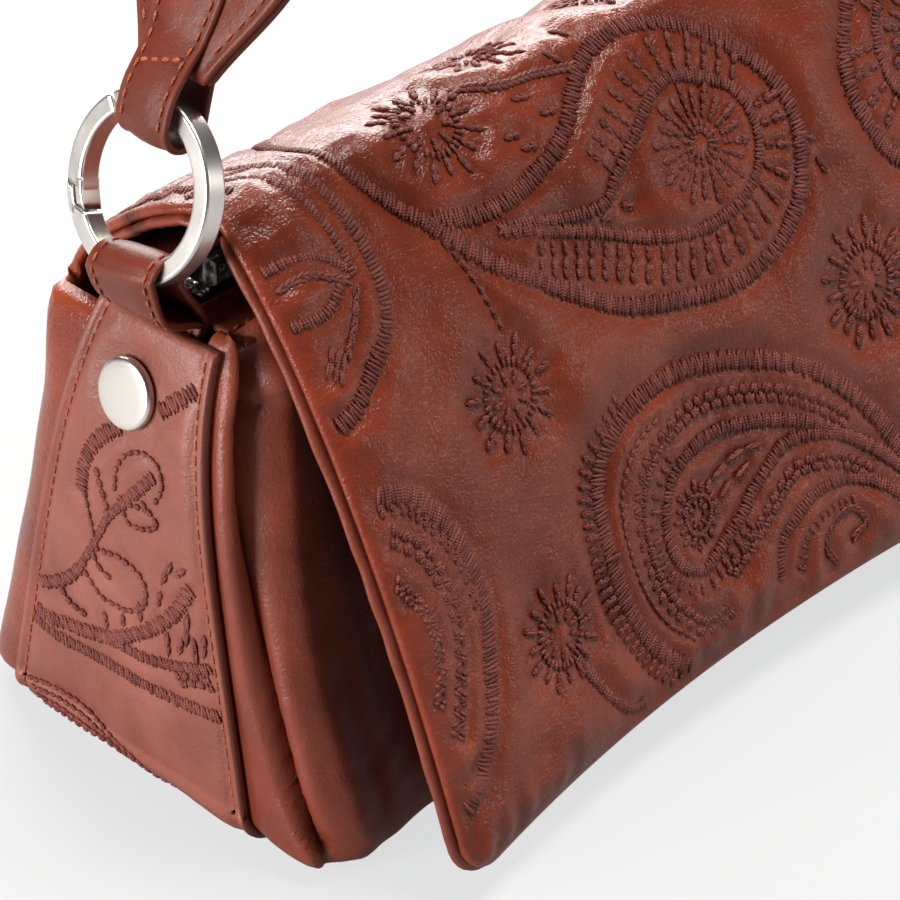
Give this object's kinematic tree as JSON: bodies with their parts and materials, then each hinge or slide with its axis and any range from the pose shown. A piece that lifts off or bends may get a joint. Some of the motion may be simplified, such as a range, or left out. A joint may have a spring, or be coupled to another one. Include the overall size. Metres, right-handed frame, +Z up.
{
  "type": "shoulder bag",
  "caption": "Small leather shoulder bag with a padded embroidered flap closed by a magnet, a zip top, gate rings in tabs and a soft shoulder strap.",
  "frame": {"origin": "on the surface that the bag stands on, under the middle of its base strip", "axes": "+Z up; +X along the bag towards its right end; the flap hangs at the front, towards -Y"},
  "size_m": [0.2708, 0.1306, 0.3449],
  "materials": {
    "leather_embroidered": "semi-gloss brown leather with tone-on-tone satin-stitch embroidery",
    "leather_smooth": "semi-gloss brown leather, soft and finely creased",
    "lining": "dark woven lining",
    "zip_tape": "dark brown woven zip tape",
    "board": "plain stiffening board",
    "zip_metal": "bright nickel plate",
    "satin_nickel": "satin nickel plate",
    "spring_steel": "bright spring wire"
  },
  "bodies": {
    "bag": {"front_panel": "leather_smooth", "back_panel": "leather_embroidered", "gusset_strip": "leather_embroidered", "end_reinforcement_left": "board", "end_reinforcement_right": "board", "base_board": "board", "lining_pouch": "lining", "slip_pocket": "lining", "crown_lining": "lining", "crown_roll_left": "leather_smooth", "crown_roll_right": "leather_smooth", "magnet_socket": "satin_nickel", "magnet_backing_plate": "satin_nickel", "zip_facing_front": "leather_smooth", "zip_facing_back": "leather_smooth", "zip_tape_front": "zip_tape", "zip_tape_back": "zip_tape", "zip_teeth_front": "zip_metal", "zip_teeth_back": "zip_metal", "zip_stop_left": "zip_metal", "zip_stop_right": "zip_metal", "zip_end_piece_left": "leather_smooth", "zip_end_piece_right": "leather_smooth", "ring_tab_left": "leather_smooth", "ring_tab_right": "leather_smooth", "rivet_left": "satin_nickel", "rivet_right": "satin_nickel", "rivet_washer_left": "satin_nickel", "rivet_washer_right": "satin_nickel"},
    "flap": {"flap_panel": "leather_embroidered", "flap_lining": "lining", "flap_edge_roll": "leather_smooth", "magnet_washer": "satin_nickel", "magnet_stud": "satin_nickel"},
    "zip_slider": {"zip_slider": "zip_metal"},
    "zip_pull": {"zip_pull_link": "zip_metal", "zip_pull_leather": "leather_smooth"},
    "strap": {"strap_outer": "leather_smooth", "strap_inner": "leather_smooth", "strap_fold_left": "leather_smooth", "strap_fold_right": "leather_smooth"},
    "ring_left": {"ring_left": "satin_nickel", "gate_pin_left": "satin_nickel"},
    "ring_right": {"ring_right": "satin_nickel", "gate_pin_right": "satin_nickel"},
    "gate_left": {"gate_left": "satin_nickel", "gate_spring_left": "spring_steel"},
    "gate_right": {"gate_right": "satin_nickel", "gate_spring_right": "spring_steel"}
  },
  "joints": [
    {"name": "flap_open", "type": "hinge", "parent": "bag", "child": "flap", "pos_m": [0, -0.016, 0.1342], "axis": [-1, 0, 0], "range_deg": [0, 110]},
    {"name": "strap_fold", "type": "hinge", "parent": "bag", "child": "strap", "pos_m": [0, -0.0035, 0.1372], "axis": [-1, 0, 0], "range_deg": [-20, 20]},
    {"name": "ring_left_turn", "type": "hinge", "parent": "bag", "child": "ring_left", "pos_m": [-0.1238, -0.0035, 0.1372], "axis": [-0.9397, 0, 0.342], "range_deg": [-335, 25]},
    {"name": "ring_right_turn", "type": "hinge", "parent": "bag", "child": "ring_right", "pos_m": [0.1238, -0.0035, 0.1372], "axis": [-0.9397, 0, -0.342], "range_deg": [-335, 25]},
    {"name": "gate_left_open", "type": "hinge", "parent": "ring_left", "child": "gate_left", "pos_m": [-0.1189, 0.00563, 0.15067], "axis": [-0.9397, 0, 0.342], "range_deg": [0, 20], "stiffness_Nm_per_rad": 0.02, "springref_deg": -8.59},
    {"name": "gate_right_open", "type": "hinge", "parent": "ring_right", "child": "gate_right", "pos_m": [0.1189, 0.00563, 0.15067], "axis": [-0.9397, 0, -0.342], "range_deg": [0, 20], "stiffness_Nm_per_rad": 0.02, "springref_deg": -8.59},
    {"name": "zip_slide", "type": "slide", "parent": "bag", "child": "zip_slider", "axis": [1, 0, 0], "range_m": [0, 0.196]},
    {"name": "zip_pull_swing", "type": "hinge", "parent": "zip_slider", "child": "zip_pull", "pos_m": [-0.104, 0, 0.11025], "axis": [0, -1, 0], "range_deg": [0, 30]}
  ]
}
